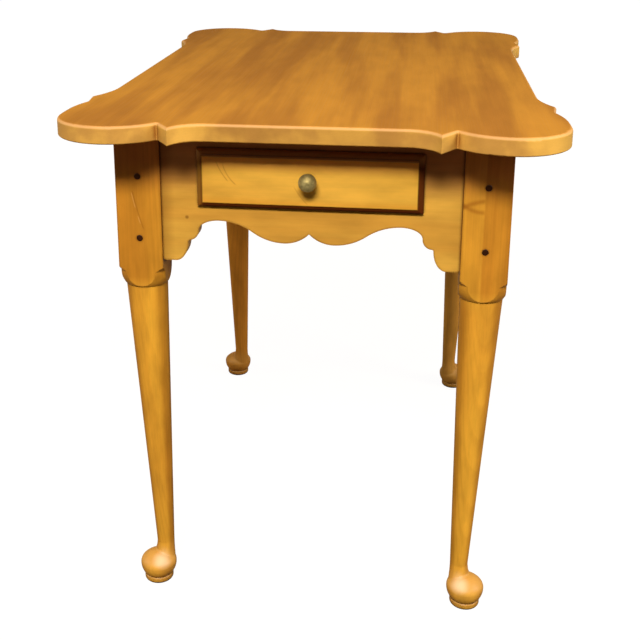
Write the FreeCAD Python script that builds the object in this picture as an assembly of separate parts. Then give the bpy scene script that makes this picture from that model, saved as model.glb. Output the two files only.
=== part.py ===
import FreeCAD
import Part
import math
import os

os.makedirs("parts", exist_ok=True)

# A tavern table, in millimetres. +X is to the right, +Y away from the drawer front, +Z up.
# The origin is on the floor, under the middle of the top.

# Sizes of the whole table
table_height = 686.0
frame_width = 490.0
frame_length = 724.0

# Top: boards glued edge to edge, with a lobe at each corner
top_thickness = 22.0
top_width = 566.0
top_length = 836.0
top_rim_radius = 4.2
top_underside_radius = 2.0
lobe_side_reach = 22.5
lobe_end_reach = 28.5
lobe_corner_radius = 69.0
side_lobe_straight = 22.5
side_notch_run = 54.0
side_notch_depth = 10.0
side_tip_run = 34.0
side_tip_depth = 5.5
side_scoop_run = 67.0
end_notch_run = 62.0
end_notch_depth = 29.5
end_tip_run = 18.5
end_tip_depth = 0.5
end_scoop_run = 38.5
notch_radius = 1.5
top_board_names = (
    "top_board_left_edge",
    "top_board_left_inner",
    "top_board_centre",
    "top_board_right_inner",
    "top_board_right_edge",
)

# Legs: square post, turned shoulder, offset taper and pad foot
post_size = 58.0
post_edge_radius = 1.2
post_below_apron = 10.0
shoulder_height = 28.0
shoulder_rim_radius = 41.5
shoulder_nick_drop = 7.5
shoulder_round_radius = 34.7
shoulder_foot_radius = 28.4
leg_top_radius = 27.0
ankle_radius = 12.0
ankle_height = 56.0
ankle_offset = 9.2
ankle_crease_radius = 4.0
flare_radius = 17.0
flare_height_shares = (1.0, 0.67, 0.47, 0.30, 0.0)
flare_spread_shares = (0.0, 0.16, 0.42, 0.75, 1.0)
pad_sole_radius = 16.5
pad_base_radius = 20.2
pad_base_height = 8.0
pad_neck_radius = 19.0
pad_neck_height = 9.5
pad_rim_radius = 25.3
pad_rim_height = 26.0
pad_crown_height = 42.5

# Aprons: boards with a scalloped lower edge, tenoned into the posts
apron_height = 170.0
apron_thickness = 20.0
apron_setback = 3.0
skirt_rise = 55.0
skirt_corner_radius = 3.5
skirt_lobe_share = 0.166
skirt_ogee_share = 0.48
skirt_arch_share = 0.61
skirt_round_share = 0.748
skirt_step_inner_share = 0.813
skirt_step_outer_share = 0.821
skirt_foot_share = 0.909
skirt_cusp_rise_share = 0.756
skirt_lobe_rise_share = 0.515
skirt_round_rise_share = 0.745
skirt_step_inner_rise_share = 0.509
skirt_step_outer_rise_share = 0.491
tenon_thickness = 9.0
tenon_top_shoulder = 14.0
tenon_bottom_shoulder = 10.0
tenon_gap = 2.0
mortise_room = 0.5
peg_diameter = 8.0
peg_proud = 0.6
peg_bevel = 0.5
peg_gap = 1.0
peg_drop_shares = (0.353, 0.832)

# Drawer opening in the front apron, and what the drawer runs on
opening_width = 265.0
opening_height = 62.5
opening_rail = 27.0
runner_width = 38.0
runner_thickness = 18.0
guide_width = 17.5
guide_height = 18.0
kicker_width = 44.0
stub_length = 8.0
stub_thickness = 10.0
stub_lift = 2.0
stub_side_shoulder = 4.0
cleat_size = 22.0
cleat_end_gap = 24.0

# Drawer
lip_side_overlap = 7.2
lip_upright_overlap = 6.0
lip_thickness = 8.7
lip_edge = 2.0
lip_side_inset = 7.4
lip_upright_inset = 6.5
lip_quirk = 1.2
lip_gap = 0.3
drawer_block_thickness = 12.0
drawer_length = 560.0
drawer_board = 11.0
drawer_side_gap = 1.0
drawer_top_gap = 1.5
drawer_rest_gap = 0.2
drawer_bottom_thickness = 6.0
drawer_bottom_lift = 8.0
drawer_groove = 5.5
groove_room = 0.5
drawer_back_inset = 12.0
drawer_back_dado = 4.0
drawer_back_drop = 5.5
drawer_bottom_overhang = 4.0
tail_length = 8.0
tail_root = 14.0
tail_tip = 18.0
tail_place_shares = (0.27, 0.73)

# Knob, with its screw and washer
knob_lift = 2.6
knob_radius = 11.3
knob_projection = 24.0
knob_rim_height = 14.5
knob_neck_radius = 4.6
knob_neck_height = 6.5
knob_base_radius = 7.5
knob_base_thickness = 1.6
knob_screw_radius = 2.0
knob_screw_reach = 9.0
knob_screw_head_radius = 3.8
knob_screw_head_depth = 2.4
knob_washer_radius = 5.0
knob_washer_thickness = 1.0

# Screws and nails
screw_shank_radius = 2.1
screw_head_radius = 4.2
screw_head_depth = 2.6
screw_tip = 5.0
screw_bite = 12.0
nail_shank_radius = 1.0
nail_head_radius = 2.1
nail_head_depth = 0.8
nail_tip = 3.0
back_nail_length = 30.0
bottom_nail_length = 25.0
guide_nail_length = 30.0
fastener_fit = 0.1
cleat_top_screw_shares = (-0.4, 0.0, 0.4)
cleat_apron_screw_shares = (-0.2, 0.2)
kicker_screw_shares = (-0.3, 0.0, 0.3)
guide_nail_shares = (-0.42, -0.14, 0.14, 0.42)
back_nail_shares = (0.3, 0.7)
bottom_nail_shares = (-0.3, 0.0, 0.3)

# The small arc of a turned dome, as a share of the dome's height
dome_round_share = 0.62

# Cuts run this far past the wood, and edges are found to this closeness
cut_overrun = 5.0
edge_closeness = 0.001

Vector = FreeCAD.Vector
origin = Vector(0, 0, 0)
x_way = Vector(1, 0, 0)
y_way = Vector(0, 1, 0)
z_way = Vector(0, 0, 1)

# Places that several pieces share
frame_top = table_height - top_thickness
apron_bottom = frame_top - apron_height
shoulder_top = apron_bottom - post_below_apron
shoulder_foot = shoulder_top - shoulder_height
post_axis = Vector((frame_width - post_size) / 2, (frame_length - post_size) / 2, 0)
front_half_span = frame_width / 2 - post_size
side_half_span = frame_length / 2 - post_size
inner_half_width = frame_width / 2 - apron_setback - apron_thickness
inner_half_length = frame_length / 2 - apron_setback - apron_thickness
tenon_length = post_size - apron_setback - (apron_thickness + tenon_thickness) / 2 - tenon_gap
opening_half_width = opening_width / 2
opening_top = frame_top - opening_rail
opening_bottom = opening_top - opening_height
runner_inner_x = opening_half_width + guide_width - runner_width
runner_outer_x = opening_half_width + guide_width
drawer_half_width = opening_half_width - drawer_side_gap
drawer_low = opening_bottom + drawer_rest_gap
drawer_high = opening_top - drawer_top_gap
lip_back_y = -(frame_length / 2 - apron_setback) - lip_gap
lip_low = opening_bottom - lip_upright_overlap
lip_high = opening_top + lip_upright_overlap
block_back_y = lip_back_y + drawer_block_thickness
drawer_end_y = lip_back_y + drawer_length
drawer_back_y = drawer_end_y - drawer_back_inset - drawer_board
drawer_inner_x = drawer_half_width - drawer_board
floor_low = drawer_low + drawer_bottom_lift
floor_high = floor_low + drawer_bottom_thickness
knob_seat = Vector(0, lip_back_y - lip_thickness, (lip_low + lip_high) / 2 + knob_lift)


def line(start, finish):
    return Part.LineSegment(start, finish).toShape()


def tangent_arc(start, way, finish):
    """An arc that leaves start along way and ends at finish."""
    chord = finish - start
    across = chord - way * chord.dot(way)
    radius = chord.Length ** 2 / (2 * across.Length)
    centre = start + across * (radius / across.Length)
    spoke = (start + finish) / 2 - centre
    return Part.Arc(start, centre + spoke * (radius / spoke.Length), finish).toShape()


def quarter_ellipse(centre, first_tip, second_tip):
    """The quarter between the ends of two half axes."""
    longer, shorter = sorted((first_tip, second_tip), key=lambda tip: -(tip - centre).Length)
    return Part.ArcOfEllipse(Part.Ellipse(longer, shorter, centre), 0, math.pi / 2).toShape()


def dome(rim, crown):
    """From an upright rim to a level crown on the axis: a small arc that runs into a large one."""
    height = crown.z - rim.z
    small = dome_round_share * height
    small_centre = rim - x_way * small
    large = (small_centre.x ** 2 + height ** 2 - small ** 2) / (2 * (height - small))
    spoke = small_centre - (crown - z_way * large)
    joint = small_centre + spoke * (small / spoke.Length)
    return [tangent_arc(rim, z_way, joint), tangent_arc(crown, x_way, joint)]


def outline(points):
    """Straight edges from point to point."""
    return [line(start, finish) for start, finish in zip(points, points[1:])]


def flat_face(edges):
    return Part.Face(Part.Wire(Part.__sortEdges__(edges)))


def turned(edges):
    """A half outline in the XZ plane, spun about the Z axis."""
    return flat_face(edges).revolve(origin, z_way, 360)


def box(x_range, y_range, z_range):
    sizes = [high - low for low, high in (x_range, y_range, z_range)]
    return Part.makeBox(*sizes, Vector(x_range[0], y_range[0], z_range[0]))


def placed(shape, base, way):
    """A shape made along +Z, turned to point along way and moved to base."""
    moved = shape.copy()
    moved.Placement = FreeCAD.Placement(base, FreeCAD.Rotation(z_way, way))
    return moved


def flipped(shapes, way):
    """Mirror images on the other side of the table."""
    return [shape.mirror(origin, way) for shape in shapes]


def both_sides(shapes, way):
    return shapes + flipped(shapes, way)


# Top

lobe_corner = Vector(top_width / 2 + lobe_side_reach, top_length / 2 + lobe_end_reach, frame_top)
end_notch = lobe_corner - Vector(lobe_corner_radius + end_notch_run, end_notch_depth, 0)
side_notch_end = lobe_corner_radius + side_lobe_straight + side_notch_run
side_notch = lobe_corner - Vector(side_notch_depth, side_notch_end, 0)


def top_quadrant():
    """From the middle of the rear end, round the right lobe, to the middle of the right side."""
    corner = lobe_corner
    end_middle = Vector(0, top_length / 2, frame_top)
    end_crest = corner - x_way * lobe_corner_radius
    end_tip = Vector(end_notch.x - end_tip_run, corner.y - end_tip_depth, frame_top)
    end_scoop = Vector(end_tip.x - end_scoop_run, end_middle.y, frame_top)
    side_middle = Vector(top_width / 2, 0, frame_top)
    side_crest = corner - y_way * lobe_corner_radius
    side_turn = side_crest - y_way * side_lobe_straight
    side_tip = Vector(corner.x - side_tip_depth, side_notch.y - side_tip_run, frame_top)
    side_scoop = Vector(side_middle.x, side_tip.y - side_scoop_run, frame_top)
    return [
        line(end_middle, end_scoop),
        tangent_arc(end_scoop, x_way, end_tip),
        line(end_tip, end_notch),
        tangent_arc(end_crest, -x_way, end_notch),
        tangent_arc(end_crest, x_way, side_crest),
        line(side_crest, side_turn),
        tangent_arc(side_turn, -y_way, side_notch),
        line(side_notch, side_tip),
        tangent_arc(side_scoop, y_way, side_tip),
        line(side_scoop, side_middle),
    ]


def eased(slab, height, radius):
    """Round over every edge of the slab that lies at this height."""
    rim = [edge for edge in slab.Edges if abs(edge.CenterOfMass.z - height) < edge_closeness]
    return slab.makeFillet(radius, rim)


def uprights_at(slab, place):
    """The four upright edges that lie at this place in each quarter of the slab."""
    def matches(vertex):
        return (Vector(abs(vertex.X), abs(vertex.Y), place.z) - place).Length < edge_closeness

    return [edge for edge in slab.Edges if all(matches(vertex) for vertex in edge.Vertexes)]


def make_top_boards():
    edges = both_sides(both_sides(top_quadrant(), x_way), y_way)
    slab = flat_face(edges).extrude(z_way * top_thickness).removeSplitter()
    slab = slab.makeFillet(notch_radius, uprights_at(slab, end_notch) + uprights_at(slab, side_notch))
    slab = eased(slab, table_height, top_rim_radius)
    slab = eased(slab, frame_top, top_underside_radius)
    slab = slab.cut(cleat_top_screws(fastener_fit) + kicker_screws(fastener_fit))
    half_width = top_width / 2 + lobe_side_reach
    half_length = top_length / 2 + lobe_end_reach + cut_overrun
    board_width = 2 * half_width / len(top_board_names)
    boards = {}
    for place, name in enumerate(top_board_names):
        left = place * board_width - half_width
        strip = box((left, left + board_width), (-half_length, half_length), (frame_top, table_height))
        boards[name] = slab.common(strip)
    return boards


# Legs

def circle(radius, centre):
    return Part.Wire(Part.makeCircle(radius, centre))


def post_with_shoulder():
    """The square post; the lathe has cut a sloping nick and a rounded shoulder into its lower corners."""
    square = (-post_size / 2, post_size / 2)
    post = box(square, square, (shoulder_foot, frame_top))
    uprights = [edge for edge in post.Edges if edge.Vertexes[0].Point.z != edge.Vertexes[1].Point.z]
    post = post.makeFillet(post_edge_radius, uprights)
    rim = Vector(shoulder_rim_radius, 0, shoulder_top)
    nick = Vector(shoulder_round_radius, 0, shoulder_top - shoulder_nick_drop)
    foot_edge = Vector(shoulder_foot_radius, 0, shoulder_foot)
    sides = outline([foot_edge, z_way * shoulder_foot, z_way * shoulder_top, rim, nick])
    kept = turned(sides + [tangent_arc(nick, -z_way, foot_edge)])
    waste = box(square, square, (shoulder_foot, shoulder_top)).cut(kept)
    return post.cut(waste)


def leg_taper():
    """The leg turned about a tilted axis, from under the shoulder to the ankle."""
    ankle = Vector(-ankle_offset, -ankle_offset, ankle_height)
    ends = [circle(leg_top_radius, z_way * shoulder_foot), circle(ankle_radius, ankle)]
    return Part.makeLoft(ends, True, True)


def ankle_flare():
    """Below the ankle the leg spreads outwards into the pad; its inner side runs straight down."""
    rings = []
    for height_share, spread_share in zip(flare_height_shares, flare_spread_shares):
        spread = spread_share * (flare_radius - ankle_radius)
        offset = ankle_offset - spread / math.sqrt(2)
        height = pad_rim_height + height_share * (ankle_height - pad_rim_height)
        rings.append(circle(ankle_radius + spread, Vector(-offset, -offset, height)))
    return Part.makeLoft(rings, True, False)


def pad_foot():
    """A domed pad on a small base, turned about the axis of the post."""
    sole = Vector(pad_sole_radius, 0, 0)
    base_foot = Vector(pad_base_radius, 0, pad_base_radius - pad_sole_radius)
    base_top = Vector(pad_base_radius, 0, pad_base_height)
    neck = Vector(pad_neck_radius, 0, pad_neck_height)
    rim = Vector(pad_rim_radius, 0, pad_rim_height)
    crown = z_way * pad_crown_height
    edges = outline([crown, origin, sole]) + outline([base_foot, base_top, neck])
    edges.append(tangent_arc(base_foot, -z_way, sole))
    edges.append(tangent_arc(rim, -z_way, neck))
    return turned(edges + dome(rim, crown))


def turned_leg():
    """The taper, the ankle and the pad, with a soft hollow where the ankle runs into the pad."""
    def in_crease(edge):
        reach = edge.BoundBox
        below_ankle = pad_rim_height < reach.ZMin and reach.ZMax < ankle_height - edge_closeness
        return below_ankle and isinstance(edge.Curve, Part.BSplineCurve)

    leg = leg_taper().fuse([ankle_flare(), pad_foot()]).removeSplitter()
    return leg.makeFillet(ankle_crease_radius, [edge for edge in leg.Edges if in_crease(edge)])


def make_rear_right_leg():
    leg = post_with_shoulder().fuse(turned_leg()).removeSplitter()
    leg.translate(post_axis)
    rear_cuts = tenons(front_half_span, mortise_room) + pegs(front_half_span, fastener_fit)
    right_cuts = tenons(side_half_span, mortise_room) + pegs(side_half_span, fastener_fit)
    return leg.cut(at_rear(rear_cuts) + at_right(right_cuts))


# Aprons: each is drawn with its outer face on y = 0, then put in its place

def at_front(shapes):
    moved = [shape.copy() for shape in shapes]
    for shape in moved:
        shape.translate(y_way * (apron_setback - frame_length / 2))
    return moved


def at_rear(shapes):
    return flipped(at_front(shapes), y_way)


def at_right(shapes):
    moved = [shape.copy() for shape in shapes]
    for shape in moved:
        shape.translate(y_way * (apron_setback - frame_width / 2))
        shape.rotate(origin, z_way, 90)
    return moved


def at_left(shapes):
    return flipped(at_right(shapes), x_way)


def skirt_half(half_span):
    """The scalloped lower edge, from the cusp in the middle to the right end."""
    def point(span_share, rise_share):
        return Vector(span_share * half_span, 0, apron_bottom + rise_share * skirt_rise)

    cusp = point(0, skirt_cusp_rise_share)
    lobe = point(skirt_lobe_share, skirt_lobe_rise_share)
    arch = point(skirt_arch_share, 1)
    bend = lobe + (arch - lobe) * skirt_ogee_share
    round_top = point(skirt_round_share, skirt_round_rise_share)
    step_inner = point(skirt_step_inner_share, skirt_step_inner_rise_share)
    step_outer = point(skirt_step_outer_share, skirt_step_outer_rise_share)
    foot = point(skirt_foot_share, 0)
    corner_low = point(1, 0) - x_way * skirt_corner_radius
    corner_high = point(1, 0) + z_way * skirt_corner_radius
    return [
        tangent_arc(lobe, -x_way, cusp),
        tangent_arc(lobe, x_way, bend),
        tangent_arc(arch, -x_way, bend),
        quarter_ellipse(Vector(arch.x, 0, round_top.z), arch, round_top),
        quarter_ellipse(Vector(step_inner.x, 0, round_top.z), round_top, step_inner),
        line(step_inner, step_outer),
        quarter_ellipse(Vector(foot.x, 0, step_outer.z), step_outer, foot),
        line(foot, corner_low),
        tangent_arc(corner_low, x_way, corner_high),
    ]


def tenons(half_span, room):
    """The tenons at both ends of an apron; with room they are the mortises that take them."""
    middle = apron_thickness / 2
    thickness = (middle - tenon_thickness / 2, middle + tenon_thickness / 2)
    height = (apron_bottom + tenon_bottom_shoulder, frame_top - tenon_top_shoulder)
    return both_sides([box((half_span, half_span + tenon_length + room), thickness, height)], x_way)


def pegs(half_span, fit):
    """The pegs that pin both tenons of an apron; with a fit they are the holes that take them."""
    radius = peg_diameter / 2 + fit
    length = peg_proud + post_size / 2 - peg_diameter / 2 - peg_gap + fit
    rim = Vector(radius, 0, peg_bevel)
    corners = [Vector(radius - peg_bevel, 0, 0), rim, Vector(radius, 0, length), z_way * length, origin]
    peg = turned(outline(corners + corners[:1]))
    head = Vector(half_span + post_size / 2, -apron_setback - peg_proud, frame_top)
    drops = [drop_share * apron_height for drop_share in peg_drop_shares]
    return both_sides([placed(peg, head - z_way * drop, y_way) for drop in drops], x_way)


def apron(half_span):
    edges = both_sides(skirt_half(half_span), x_way)
    right_low = Vector(half_span, 0, apron_bottom + skirt_corner_radius)
    right_high = Vector(half_span, 0, frame_top)
    left_low = Vector(-half_span, 0, apron_bottom + skirt_corner_radius)
    left_high = Vector(-half_span, 0, frame_top)
    edges += outline([right_low, right_high, left_high, left_low])
    board = flat_face(edges).extrude(y_way * apron_thickness)
    board = board.fuse(tenons(half_span, 0)).removeSplitter()
    return board.cut(pegs(half_span, fastener_fit))


def make_aprons():
    front = at_front([apron(front_half_span)])[0].cut(stub_sockets() + [drawer_opening()])
    rear = at_rear([apron(front_half_span)])[0].cut(stub_sockets())
    right = at_right([apron(side_half_span)])[0].cut(cleat_apron_screws(fastener_fit))
    return {
        "front_apron": front,
        "rear_apron": rear,
        "right_apron": right,
        "left_apron": right.mirror(origin, x_way),
    }


def drawer_opening():
    across = (-opening_half_width, opening_half_width)
    front_face = apron_setback - frame_length / 2
    through = (front_face - cut_overrun, front_face + apron_thickness + cut_overrun)
    return box(across, through, (opening_bottom, opening_top))


# Drawer runners, guides and kicker

def stub(x_range, low, reach):
    """A bar through a rail whose ends are its stub tenons; a longer one cuts the sockets for them."""
    across = (x_range[0] + stub_side_shoulder, x_range[1] - stub_side_shoulder)
    return box(across, (-reach, reach), (low, low + stub_thickness))


def kicker_stub_low():
    return (opening_top + frame_top - stub_thickness) / 2


def stub_sockets():
    reach = inner_half_length + stub_length + mortise_room
    runner_low = opening_bottom - runner_thickness + stub_lift
    right_runner = stub((runner_inner_x, runner_outer_x), runner_low, reach)
    kicker = stub((-kicker_width / 2, kicker_width / 2), kicker_stub_low(), reach)
    return both_sides([right_runner], x_way) + [kicker]


def make_right_runner():
    across = (runner_inner_x, runner_outer_x)
    low = opening_bottom - runner_thickness
    rail = box(across, (-inner_half_length, inner_half_length), (low, opening_bottom))
    rail = rail.fuse(stub(across, low + stub_lift, inner_half_length + stub_length)).removeSplitter()
    return rail.cut(guide_nails(fastener_fit))


def make_right_guide():
    along = (-inner_half_length, inner_half_length)
    upright = (opening_bottom, opening_bottom + guide_height)
    return box((opening_half_width, runner_outer_x), along, upright).cut(guide_nails(fastener_fit))


def make_kicker():
    across = (-kicker_width / 2, kicker_width / 2)
    rail = box(across, (-inner_half_length, inner_half_length), (opening_top, frame_top))
    rail = rail.fuse(stub(across, kicker_stub_low(), inner_half_length + stub_length)).removeSplitter()
    return rail.cut(kicker_screws(fastener_fit))


# Cleats that hold the top

def make_right_cleat():
    across = (inner_half_width - cleat_size, inner_half_width)
    half_length = side_half_span - cleat_end_gap
    cleat = box(across, (-half_length, half_length), (frame_top - cleat_size, frame_top))
    return cleat.cut(cleat_top_screws(fastener_fit) + cleat_apron_screws(fastener_fit))


# Screws and nails

def wood_screw(length, fit):
    """A countersunk screw; with a fit it is the hole that takes it."""
    shank = screw_shank_radius + fit
    corners = [
        origin,
        Vector(screw_head_radius + fit, 0, 0),
        Vector(shank, 0, screw_head_depth),
        Vector(shank, 0, length - screw_tip),
        Vector(0, 0, length + fit),
    ]
    return turned(outline(corners + corners[:1]))


def nail(length, fit):
    """A flat-headed nail; with a fit it is the hole that takes it."""
    shank = nail_shank_radius + fit
    corners = [
        origin,
        Vector(nail_head_radius + fit, 0, 0),
        Vector(nail_head_radius + fit, 0, nail_head_depth),
        Vector(shank, 0, nail_head_depth),
        Vector(shank, 0, length - nail_tip),
        Vector(0, 0, length + fit),
    ]
    return turned(outline(corners + corners[:1]))


def cleat_top_screws(fit):
    """Upwards through both cleats into the top."""
    screw = wood_screw(cleat_size + screw_bite, fit)
    length = 2 * (side_half_span - cleat_end_gap)
    x = inner_half_width - cleat_size / 2
    bases = [Vector(x, share * length, frame_top - cleat_size) for share in cleat_top_screw_shares]
    return both_sides([placed(screw, base, z_way) for base in bases], x_way)


def cleat_apron_screws(fit):
    """Sideways through both cleats into the side aprons."""
    screw = wood_screw(cleat_size + screw_bite, fit)
    length = 2 * (side_half_span - cleat_end_gap)
    middle = Vector(inner_half_width - cleat_size, 0, frame_top - cleat_size / 2)
    bases = [middle + y_way * share * length for share in cleat_apron_screw_shares]
    return both_sides([placed(screw, base, x_way) for base in bases], x_way)


def kicker_screws(fit):
    """Upwards through the kicker into the top."""
    screw = wood_screw(opening_rail + screw_bite, fit)
    bases = [Vector(0, share * 2 * inner_half_length, opening_top) for share in kicker_screw_shares]
    return [placed(screw, base, z_way) for base in bases]


def guide_nails(fit):
    """Down through both guides into the runners."""
    spike = nail(guide_nail_length, fit)
    x = (opening_half_width + runner_outer_x) / 2
    height = opening_bottom + guide_height
    bases = [Vector(x, share * 2 * inner_half_length, height) for share in guide_nail_shares]
    return both_sides([placed(spike, base, -z_way) for base in bases], x_way)


def back_nails(fit):
    """Through both drawer sides into the ends of the drawer back."""
    spike = nail(back_nail_length, fit)
    y = drawer_back_y + drawer_board / 2
    top = drawer_high - drawer_back_drop
    heights = [floor_high + share * (top - floor_high) for share in back_nail_shares]
    return both_sides([placed(spike, Vector(drawer_half_width, y, z), -x_way) for z in heights], x_way)


def bottom_nails(fit):
    """Upwards through the drawer bottom into the lower edge of the drawer back."""
    spike = nail(bottom_nail_length, fit)
    middle = Vector(0, drawer_back_y + drawer_board / 2, floor_low)
    bases = [middle + x_way * share * 2 * drawer_inner_x for share in bottom_nail_shares]
    return [placed(spike, base, z_way) for base in bases]


# Drawer

def lip_section(half_width, inset, across):
    """A cut through the lip: a flat field, a quirk at each side, and a quarter round to a thin edge."""
    shoulder = lip_thickness - lip_quirk
    field = half_width - inset
    back = across * half_width
    edge = back - y_way * lip_edge
    round_top = across * field - y_way * shoulder
    field_edge = across * field - y_way * lip_thickness
    centre = across * field - y_way * lip_edge
    half = outline([origin, back, edge]) + outline([round_top, field_edge, -y_way * lip_thickness])
    half.append(quarter_ellipse(centre, edge, round_top))
    return both_sides(half, across)


def make_drawer_lip():
    """The moulding on the ends meets the moulding on the long edges in a mitre."""
    half_width = opening_half_width + lip_side_overlap
    half_height = (lip_high - lip_low) / 2
    wide = flat_face(lip_section(half_width, lip_side_inset, x_way))
    wide.translate(-z_way * half_height)
    tall = flat_face(lip_section(half_height, lip_upright_inset, z_way))
    tall.translate(-x_way * half_width)
    lip = wide.extrude(z_way * 2 * half_height).common(tall.extrude(x_way * 2 * half_width))
    lip.translate(Vector(0, lip_back_y, (lip_low + lip_high) / 2))
    return lip


def right_tails():
    """The dovetails on the front end of the right drawer side."""
    tails = []
    for share in tail_place_shares:
        middle = drawer_low + share * (drawer_high - drawer_low)
        root = Vector(drawer_inner_x, block_back_y, middle)
        tip = Vector(drawer_inner_x, block_back_y - tail_length, middle)
        corners = [
            root - z_way * tail_root / 2,
            root + z_way * tail_root / 2,
            tip + z_way * tail_tip / 2,
            tip - z_way * tail_tip / 2,
        ]
        tails.append(flat_face(outline(corners + corners[:1])).extrude(x_way * drawer_board))
    return tails


def floor_groove():
    """The groove round the front and both sides that holds the drawer bottom."""
    half_width = drawer_inner_x + drawer_groove
    along = (block_back_y - drawer_groove, drawer_end_y + cut_overrun)
    return box((-half_width, half_width), along, (floor_low, floor_high))


def make_drawer_front():
    across = (-drawer_half_width, drawer_half_width)
    block = box(across, (lip_back_y, block_back_y), (drawer_low, drawer_high))
    front = make_drawer_lip().fuse(block).removeSplitter()
    bore = Part.makeCylinder(knob_screw_radius + fastener_fit, lip_thickness + drawer_block_thickness)
    bore = placed(bore, knob_seat, y_way)
    return front.cut(both_sides(right_tails(), x_way) + [floor_groove(), bore])


def make_right_drawer_side():
    side = box((drawer_inner_x, drawer_half_width), (block_back_y, drawer_end_y), (drawer_low, drawer_high))
    side = side.fuse(right_tails()).removeSplitter()
    return side.cut([floor_groove(), drawer_back_blank()] + back_nails(fastener_fit))


def drawer_back_blank():
    half_width = drawer_inner_x + drawer_back_dado
    through = (drawer_back_y, drawer_back_y + drawer_board)
    return box((-half_width, half_width), through, (floor_high, drawer_high - drawer_back_drop))


def make_drawer_back():
    return drawer_back_blank().cut(back_nails(fastener_fit) + bottom_nails(fastener_fit))


def make_drawer_bottom():
    half_width = drawer_inner_x + drawer_groove - groove_room
    front_edge = block_back_y - drawer_groove + groove_room
    rear_edge = drawer_back_y + drawer_board + drawer_bottom_overhang
    floor = box((-half_width, half_width), (front_edge, rear_edge), (floor_low, floor_high))
    return floor.cut(bottom_nails(fastener_fit))


# Knob

def make_knob():
    base = Vector(knob_base_radius, 0, 0)
    base_top = Vector(knob_base_radius, 0, knob_base_thickness)
    neck = Vector(knob_neck_radius, 0, knob_neck_height)
    rim = Vector(knob_radius, 0, knob_rim_height)
    crown = z_way * knob_projection
    edges = outline([crown, origin, base, base_top])
    edges.append(tangent_arc(neck, -z_way, base_top))
    edges.append(tangent_arc(rim, -z_way, neck))
    bore = Part.makeCylinder(knob_screw_radius + fastener_fit, knob_screw_reach + fastener_fit)
    return placed(turned(edges + dome(rim, crown)).cut(bore), knob_seat, -y_way)


def make_knob_screw():
    """From inside the drawer, through the washer and the drawer front, into the knob."""
    length = knob_washer_thickness + drawer_block_thickness + lip_thickness + knob_screw_reach
    head = Part.makeCylinder(knob_screw_head_radius, knob_screw_head_depth)
    shank = Part.makeCylinder(knob_screw_radius, knob_screw_head_depth + length)
    base = Vector(0, block_back_y + knob_washer_thickness + knob_screw_head_depth, knob_seat.z)
    return placed(head.fuse(shank).removeSplitter(), base, -y_way)


def make_knob_washer():
    ring = Part.makeCylinder(knob_washer_radius, knob_washer_thickness)
    ring = ring.cut(Part.makeCylinder(knob_screw_radius + fastener_fit, knob_washer_thickness))
    return placed(ring, Vector(0, block_back_y, knob_seat.z), y_way)


# All the pieces

def make_pairs():
    """Pieces that are made at the right and mirrored to the left."""
    pairs = {}
    for name, right in (
        ("runner", make_right_runner()),
        ("drawer_guide", make_right_guide()),
        ("top_cleat", make_right_cleat()),
        ("drawer_side", make_right_drawer_side()),
    ):
        pairs["right_" + name] = right
        pairs["left_" + name] = right.mirror(origin, x_way)
    return pairs


def make_legs():
    rear_right = make_rear_right_leg()
    front_right = rear_right.mirror(origin, y_way)
    return {
        "rear_right_leg": rear_right,
        "rear_left_leg": rear_right.mirror(origin, x_way),
        "front_right_leg": front_right,
        "front_left_leg": front_right.mirror(origin, x_way),
    }


def make_fasteners():
    return {
        "front_pegs": at_front(pegs(front_half_span, 0)),
        "rear_pegs": at_rear(pegs(front_half_span, 0)),
        "right_pegs": at_right(pegs(side_half_span, 0)),
        "left_pegs": at_left(pegs(side_half_span, 0)),
        "cleat_to_top_screws": cleat_top_screws(0),
        "cleat_to_apron_screws": cleat_apron_screws(0),
        "kicker_screws": kicker_screws(0),
        "guide_nails": guide_nails(0),
        "drawer_back_nails": back_nails(0),
        "drawer_bottom_nails": bottom_nails(0),
    }


pieces = {**make_top_boards(), **make_legs(), **make_aprons(), **make_pairs()}
pieces["drawer_kicker"] = make_kicker()
pieces["drawer_front"] = make_drawer_front()
pieces["drawer_back"] = make_drawer_back()
pieces["drawer_bottom"] = make_drawer_bottom()
pieces["knob"] = make_knob()
pieces["knob_screw"] = make_knob_screw()
pieces["knob_washer"] = make_knob_washer()
for group_name, solids in make_fasteners().items():
    pieces[group_name] = Part.makeCompound(solids)

for node, shape in pieces.items():
    shape.exportStep("parts/" + node + ".step")
    print(node, len(shape.Solids), "solids,", "sound" if shape.isValid() else "faulty")
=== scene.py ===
# %% [markdown]
# # A varnished pine tavern table
#
# The table comes from CAD as separate solids: top boards, legs, aprons, pegs and a drawer with its knob.
# This lesson dresses them. Nothing is moved: each solid keeps its shape and gets a finish that is worked
# out from what the real piece is made of. The first cell loads the solids.

# %% Load the table
import math

import bpy
from mathutils import Matrix, Vector

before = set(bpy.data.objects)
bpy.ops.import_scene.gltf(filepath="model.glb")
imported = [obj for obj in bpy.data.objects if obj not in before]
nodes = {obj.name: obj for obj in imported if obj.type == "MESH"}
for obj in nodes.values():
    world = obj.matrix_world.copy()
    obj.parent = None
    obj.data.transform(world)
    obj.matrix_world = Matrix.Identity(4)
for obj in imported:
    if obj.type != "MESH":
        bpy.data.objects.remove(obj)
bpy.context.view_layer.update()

scene = bpy.context.scene
scene.view_settings.view_transform = "Standard"

# %% [markdown]
# ## The camera
#
# The photograph was taken from a little to the right of the table, looking down on it. The camera could be
# placed by eye, but a table has many straight lines, so its place was worked out from the feet, the posts
# and the corners of the top. The eye's place is in metres. The lens and the middle of the view are in pixels
# of the photograph, and the shift is there because the picture was cropped.

# %% Camera
PICTURE = 640.0
SENSOR = 36.0
eye = Vector((0.12739, -1.57896, 0.9475))
turn = math.radians(7.930)
tilt = math.radians(16.553)
roll = math.radians(-0.212)
focal_pixels = 1039.25
middle_x, middle_y = 275.0, 198.0

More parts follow.
